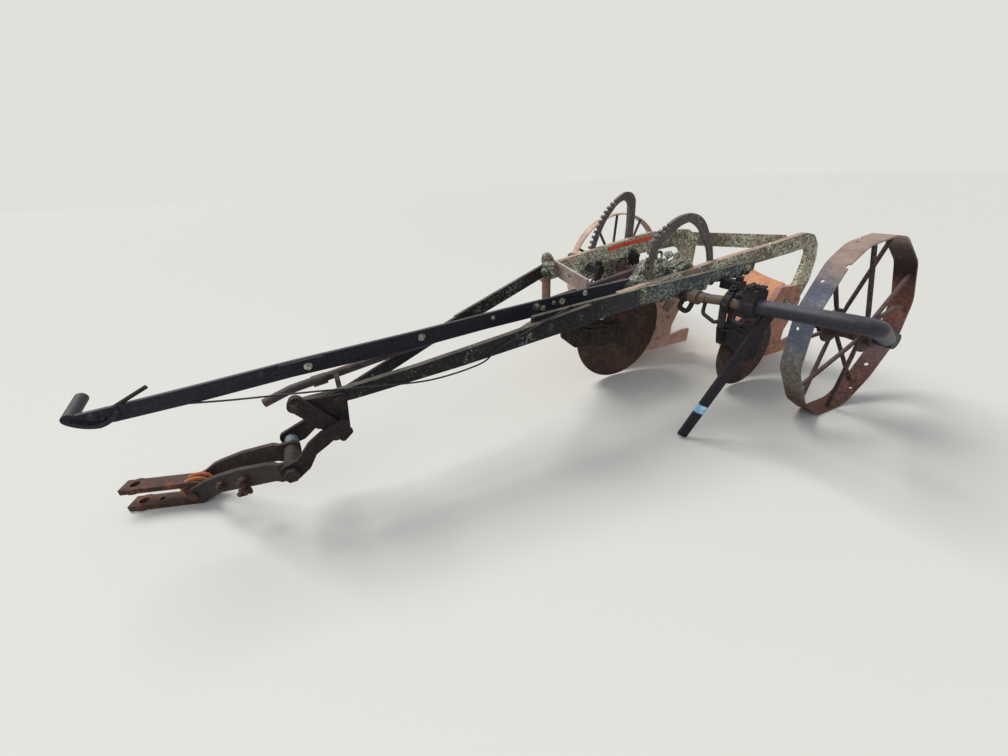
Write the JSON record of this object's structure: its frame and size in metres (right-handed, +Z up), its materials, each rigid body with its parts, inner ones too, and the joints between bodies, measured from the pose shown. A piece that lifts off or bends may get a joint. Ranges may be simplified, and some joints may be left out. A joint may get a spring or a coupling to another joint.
{
  "type": "trailed two-bottom moldboard plough",
  "caption": "Rusted trailed moldboard plough with gooseneck beams, spoked iron wheels, rolling disc coulters, toothed lever quadrants, long hand levers and a hinged drawbar with an end clevis.",
  "frame": {"origin": "centre of the plough's footprint, on the ground", "axes": "+X forward along the beams to the drawbar, +Y to the plough's left (land side), +Z up"},
  "size_m": [2.8724, 1.663, 0.8083],
  "materials": {
    "beam_iron": "black-brown rust with grey lichen",
    "casting": "lichen-crusted casting",
    "rust_orange": "bright orange rust on worn plate",
    "rust_red": "dry red-brown rust",
    "wheel_iron": "grey-blue worn tread over red rust",
    "worn_steel": "rust-darkened steel"
  },
  "bodies": {
    "frame": {"axle_clamp": "beam_iron", "beam_brace": "beam_iron", "corner_post": "beam_iron", "cross_brace": "rust_red", "far_casting": "casting", "far_quadrant": "casting", "front_beam": "beam_iron", "front_disc_pin": "worn_steel", "front_frog": "rust_red", "front_landside": "rust_red", "front_moldboard": "rust_orange", "front_shank": "beam_iron", "front_shank_clamp": "beam_iron", "front_yoke": "beam_iron", "furrow_axle": "beam_iron", "furrow_lever": "beam_iron", "furrow_spindle": "worn_steel", "hitch_bar": "beam_iron", "hitch_cross": "beam_iron", "hitch_diagonal": "beam_iron", "hitch_lug": "beam_iron", "hitch_pin": "worn_steel", "hitch_plate": "beam_iron", "land_axle": "beam_iron", "land_lever": "beam_iron", "land_spindle": "worn_steel", "lower_flat": "rust_red", "near_casting": "casting", "near_quadrant": "casting", "prop_bar": "beam_iron", "rear_beam": "beam_iron", "rear_disc_pin": "worn_steel", "rear_frog": "rust_red", "rear_landside": "rust_red", "rear_moldboard": "rust_orange", "rear_shank": "beam_iron", "rear_shank_clamp": "beam_iron", "rear_yoke": "beam_iron", "side_bar": "beam_iron"},
    "land_wheel": {"land_hub": "wheel_iron", "land_rim": "wheel_iron", "land_spokes": "wheel_iron"},
    "furrow_wheel": {"furrow_hub": "wheel_iron", "furrow_rim": "wheel_iron", "furrow_spokes": "wheel_iron"},
    "front_coulter": {"front_disc": "worn_steel"},
    "rear_coulter": {"rear_disc": "worn_steel"},
    "drawbar": {"clevis_pin": "rust_red", "drawbar": "beam_iron"},
    "clevis": {"clevis": "rust_red"}
  },
  "joints": [
    {"name": "land_wheel_turn", "type": "hinge", "parent": "frame", "child": "land_wheel", "pos_m": [-0.99622, 0.55847, 0.33], "axis": [0, 1, 0], "continuous": true},
    {"name": "furrow_wheel_turn", "type": "hinge", "parent": "frame", "child": "furrow_wheel", "pos_m": [-0.94622, -0.71753, 0.33], "axis": [0, 1, 0], "continuous": true},
    {"name": "front_coulter_turn", "type": "hinge", "parent": "frame", "child": "front_coulter", "pos_m": [-0.46622, -0.08653, 0.234], "axis": [0, 1, 0], "continuous": true},
    {"name": "rear_coulter_turn", "type": "hinge", "parent": "frame", "child": "rear_coulter", "pos_m": [-0.87622, 0.25847, 0.17], "axis": [0, 1, 0], "continuous": true},
    {"name": "drawbar_pitch", "type": "hinge", "parent": "frame", "child": "drawbar", "pos_m": [0.92078, 0.17947, 0.212], "axis": [0, 1, 0], "range_deg": [-35, 8]},
    {"name": "clevis_turn", "type": "hinge", "parent": "drawbar", "child": "clevis", "pos_m": [1.22878, -0.04153, 0.043], "axis": [0.309, 0.9511, 0], "range_deg": [-30, 15]}
  ]
}
